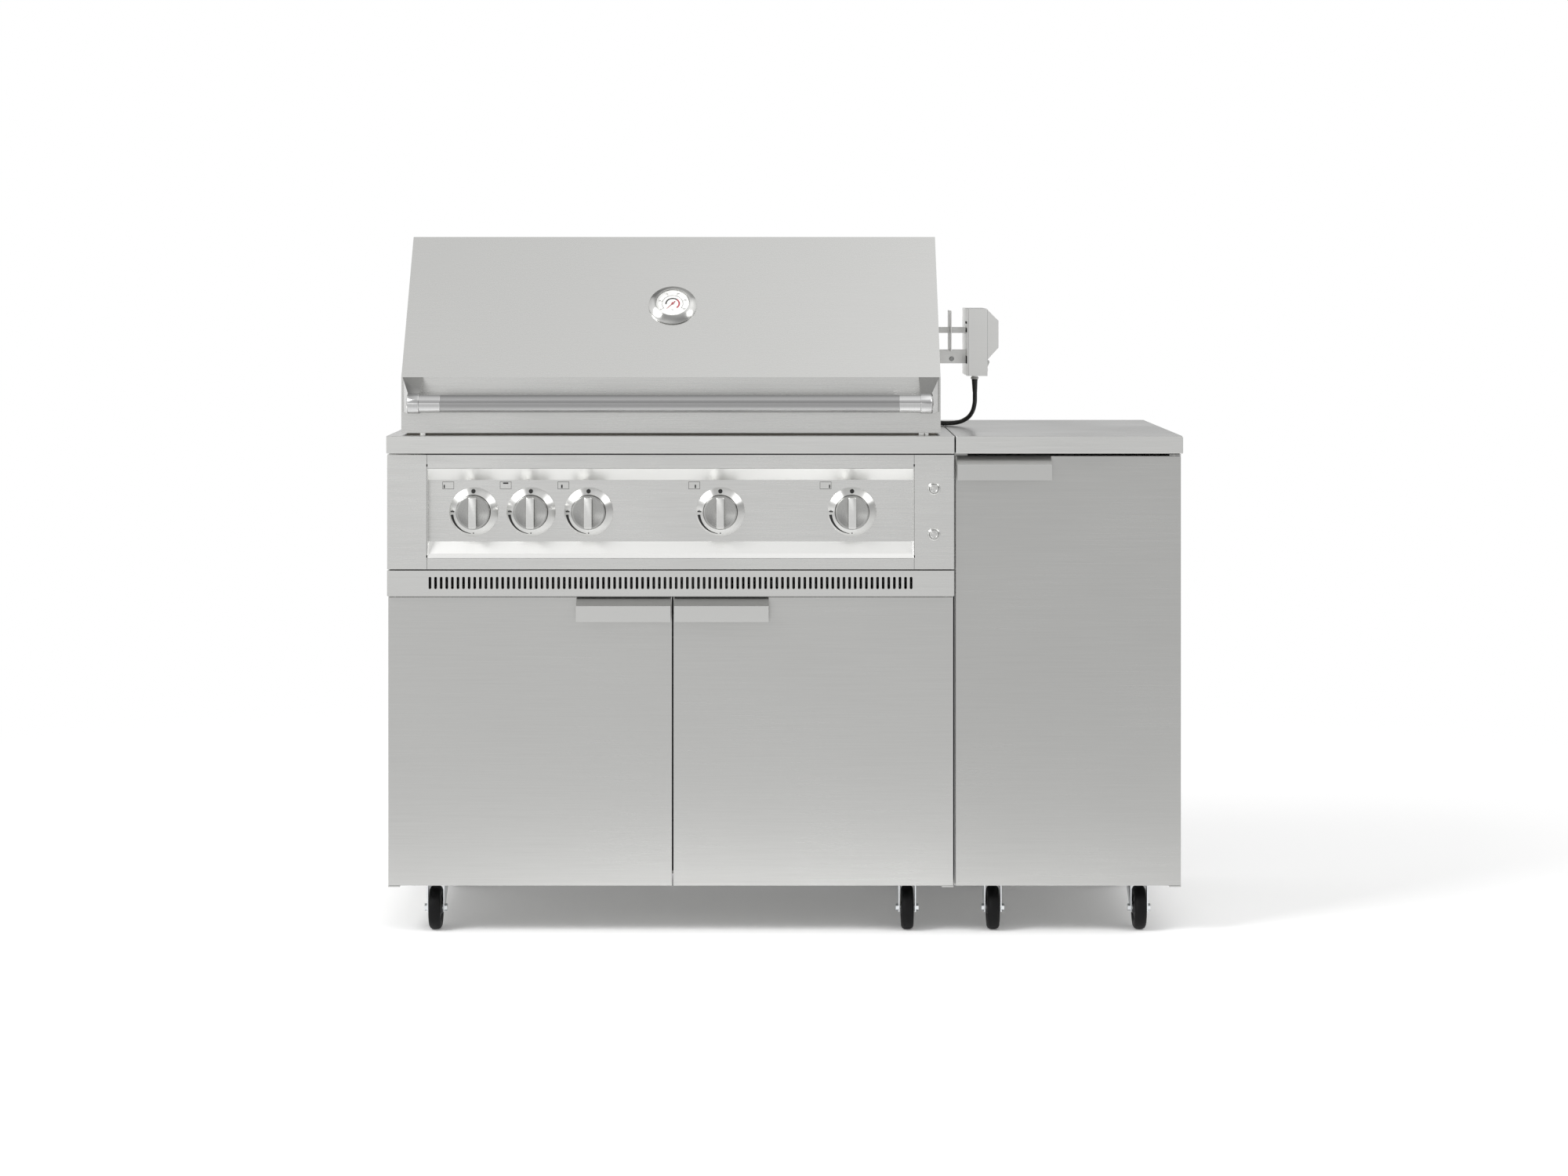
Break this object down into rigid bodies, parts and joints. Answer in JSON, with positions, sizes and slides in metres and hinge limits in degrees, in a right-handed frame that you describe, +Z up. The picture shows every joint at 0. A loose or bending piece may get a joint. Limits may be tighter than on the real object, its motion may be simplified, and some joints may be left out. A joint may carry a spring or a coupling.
{
  "type": "outdoor kitchen island",
  "caption": "Outdoor kitchen island on casters: a gas grill with hinged lid, control knobs and rotisserie over a double-door cabinet, beside a cabinet with a flat counter.",
  "frame": {"origin": "on the floor under the middle of the island, halfway between the front of the lid handle and the rear edge of the counters", "axes": "+X to the right as seen from the front, along the island; +Y from the front to the rear; +Z up"},
  "size_m": [1.464, 0.698, 1.288],
  "materials": {
    "brushed_panel": "brushed",
    "plain_steel": "dull",
    "polished_steel": "polished",
    "turned_metal": "turned satin",
    "zinc_steel": "zinc plated",
    "cast_grate": "matt",
    "black_rubber": "matt",
    "black_plastic": "matt",
    "white_dial": "satin"
  },
  "bodies": {
    "island": {"grill_cabinet": "brushed_panel", "grill_base": "plain_steel", "grill_counter": "brushed_panel", "front_frame": "brushed_panel", "control_panel": "brushed_panel", "vent_strip": "brushed_panel", "side_cabinet": "brushed_panel", "side_base": "plain_steel", "side_counter": "brushed_panel", "side_shelf": "brushed_panel", "firebox": "plain_steel", "cooking_grate": "cast_grate", "burner_set": "plain_steel", "rear_burner": "plain_steel", "warming_rack": "polished_steel", "knob_bezel_1": "turned_metal", "knob_bezel_2": "turned_metal", "knob_bezel_3": "turned_metal", "knob_bezel_4": "turned_metal", "knob_bezel_5": "turned_metal", "motor_bracket": "brushed_panel", "rotisserie_motor": "brushed_panel", "rotisserie_cord": "black_rubber", "cord_coil": "black_rubber", "cord_plug": "black_plastic"},
    "lid": {"lid_shell": "brushed_panel", "lid_handle": "polished_steel", "handle_bracket_left": "brushed_panel", "handle_bracket_right": "brushed_panel", "gauge_bezel": "turned_metal", "gauge_dial": "white_dial"},
    "door_left": {"door_left": "brushed_panel"},
    "door_right": {"door_right": "brushed_panel"},
    "side_door": {"side_door": "brushed_panel"},
    "drip_tray": {"drip_tray": "plain_steel"},
    "spit_rod": {"spit_rod": "polished_steel"},
    "motor_switch": {"motor_switch": "black_plastic"},
    "igniter_button": {"igniter_button": "polished_steel"},
    "light_button": {"light_button": "polished_steel"},
    "knob_1": {"knob_1": "turned_metal"},
    "knob_2": {"knob_2": "turned_metal"},
    "knob_3": {"knob_3": "turned_metal"},
    "knob_4": {"knob_4": "turned_metal"},
    "knob_5": {"knob_5": "turned_metal"},
    "caster_fork_1": {"caster_fork_1": "zinc_steel"},
    "caster_fork_2": {"caster_fork_2": "zinc_steel"},
    "caster_fork_3": {"caster_fork_3": "zinc_steel"},
    "caster_fork_4": {"caster_fork_4": "zinc_steel"},
    "caster_fork_5": {"caster_fork_5": "zinc_steel"},
    "caster_fork_6": {"caster_fork_6": "zinc_steel"},
    "caster_fork_7": {"caster_fork_7": "zinc_steel"},
    "caster_fork_8": {"caster_fork_8": "zinc_steel"},
    "caster_wheel_1": {"caster_wheel_1": "black_rubber"},
    "caster_wheel_2": {"caster_wheel_2": "black_rubber"},
    "caster_wheel_3": {"caster_wheel_3": "black_rubber"},
    "caster_wheel_4": {"caster_wheel_4": "black_rubber"},
    "caster_wheel_5": {"caster_wheel_5": "black_rubber"},
    "caster_wheel_6": {"caster_wheel_6": "black_rubber"},
    "caster_wheel_7": {"caster_wheel_7": "black_rubber"},
    "caster_wheel_8": {"caster_wheel_8": "black_rubber"}
  },
  "joints": [
    {"name": "lid_hinge", "type": "hinge", "parent": "island", "child": "lid", "pos_m": [-0.21, 0.184, 0.985], "axis": [-1, 0, 0], "range_deg": [0, 90]},
    {"name": "door_left_hinge", "type": "hinge", "parent": "island", "child": "door_left", "pos_m": [-0.7188, -0.266, 0.356], "axis": [0, 0, -1], "range_deg": [0, 105]},
    {"name": "door_right_hinge", "type": "hinge", "parent": "island", "child": "door_right", "pos_m": [0.2988, -0.266, 0.356], "axis": [0, 0, 1], "range_deg": [0, 90]},
    {"name": "side_door_hinge", "type": "hinge", "parent": "island", "child": "side_door", "pos_m": [0.7188, -0.266, 0.486], "axis": [0, 0, 1], "range_deg": [0, 105]},
    {"name": "knob_1_turn", "type": "hinge", "parent": "island", "child": "knob_1", "pos_m": [-0.574, -0.268, 0.7786], "axis": [0, -1, 0], "range_deg": [0, 180]},
    {"name": "knob_2_turn", "type": "hinge", "parent": "island", "child": "knob_2", "pos_m": [-0.468, -0.268, 0.7786], "axis": [0, -1, 0], "range_deg": [0, 180]},
    {"name": "knob_3_turn", "type": "hinge", "parent": "island", "child": "knob_3", "pos_m": [-0.3616, -0.268, 0.7786], "axis": [0, -1, 0], "range_deg": [0, 180]},
    {"name": "knob_4_turn", "type": "hinge", "parent": "island", "child": "knob_4", "pos_m": [-0.1185, -0.268, 0.7786], "axis": [0, -1, 0], "range_deg": [0, 180]},
    {"name": "knob_5_turn", "type": "hinge", "parent": "island", "child": "knob_5", "pos_m": [0.1244, -0.268, 0.7786], "axis": [0, -1, 0], "range_deg": [0, 180]},
    {"name": "igniter_button_press", "type": "slide", "parent": "island", "child": "igniter_button", "axis": [0, 1, 0], "range_m": [0, 0.003], "stiffness_N_per_m": 1000, "springref_m": -0.001},
    {"name": "light_button_press", "type": "slide", "parent": "island", "child": "light_button", "axis": [0, 1, 0], "range_m": [0, 0.003], "stiffness_N_per_m": 1000, "springref_m": -0.001},
    {"name": "spit_turn", "type": "hinge", "parent": "island", "child": "spit_rod", "pos_m": [-0.21, 0.014, 1.109], "axis": [1, 0, 0], "continuous": true},
    {"name": "motor_switch_rock", "type": "hinge", "parent": "island", "child": "motor_switch", "pos_m": [0.3885, 0.014, 1.038], "axis": [0, -1, 0], "range_deg": [0, 14]},
    {"name": "drip_tray_slide", "type": "slide", "parent": "island", "child": "drip_tray", "axis": [0, 1, 0], "range_m": [0, 0.28]},
    {"name": "caster_1_swivel", "type": "hinge", "parent": "island", "child": "caster_fork_1", "pos_m": [-0.648, -0.189, 0.09], "axis": [0, 0, 1], "continuous": true},
    {"name": "caster_1_roll", "type": "hinge", "parent": "caster_fork_1", "child": "caster_wheel_1", "pos_m": [-0.648, -0.221, 0.04], "axis": [1, 0, 0], "continuous": true},
    {"name": "caster_2_swivel", "type": "hinge", "parent": "island", "child": "caster_fork_2", "pos_m": [0.228, -0.189, 0.09], "axis": [0, 0, 1], "continuous": true},
    {"name": "caster_2_roll", "type": "hinge", "parent": "caster_fork_2", "child": "caster_wheel_2", "pos_m": [0.228, -0.221, 0.04], "axis": [1, 0, 0], "continuous": true},
    {"name": "caster_3_swivel", "type": "hinge", "parent": "island", "child": "caster_fork_3", "pos_m": [-0.648, 0.263, 0.09], "axis": [0, 0, 1], "continuous": true},
    {"name": "caster_3_roll", "type": "hinge", "parent": "caster_fork_3", "child": "caster_wheel_3", "pos_m": [-0.648, 0.231, 0.04], "axis": [1, 0, 0], "continuous": true},
    {"name": "caster_4_swivel", "type": "hinge", "parent": "island", "child": "caster_fork_4", "pos_m": [0.228, 0.263, 0.09], "axis": [0, 0, 1], "continuous": true},
    {"name": "caster_4_roll", "type": "hinge", "parent": "caster_fork_4", "child": "caster_wheel_4", "pos_m": [0.228, 0.231, 0.04], "axis": [1, 0, 0], "continuous": true},
    {"name": "caster_5_swivel", "type": "hinge", "parent": "island", "child": "caster_fork_5", "pos_m": [0.3872, -0.189, 0.09], "axis": [0, 0, 1], "continuous": true},
    {"name": "caster_5_roll", "type": "hinge", "parent": "caster_fork_5", "child": "caster_wheel_5", "pos_m": [0.3872, -0.221, 0.04], "axis": [1, 0, 0], "continuous": true},
    {"name": "caster_6_swivel", "type": "hinge", "parent": "island", "child": "caster_fork_6", "pos_m": [0.6592, -0.189, 0.09], "axis": [0, 0, 1], "continuous": true},
    {"name": "caster_6_roll", "type": "hinge", "parent": "caster_fork_6", "child": "caster_wheel_6", "pos_m": [0.6592, -0.221, 0.04], "axis": [1, 0, 0], "continuous": true},
    {"name": "caster_7_swivel", "type": "hinge", "parent": "island", "child": "caster_fork_7", "pos_m": [0.3872, 0.263, 0.09], "axis": [0, 0, 1], "continuous": true},
    {"name": "caster_7_roll", "type": "hinge", "parent": "caster_fork_7", "child": "caster_wheel_7", "pos_m": [0.3872, 0.231, 0.04], "axis": [1, 0, 0], "continuous": true},
    {"name": "caster_8_swivel", "type": "hinge", "parent": "island", "child": "caster_fork_8", "pos_m": [0.6592, 0.263, 0.09], "axis": [0, 0, 1], "continuous": true},
    {"name": "caster_8_roll", "type": "hinge", "parent": "caster_fork_8", "child": "caster_wheel_8", "pos_m": [0.6592, 0.231, 0.04], "axis": [1, 0, 0], "continuous": true}
  ]
}
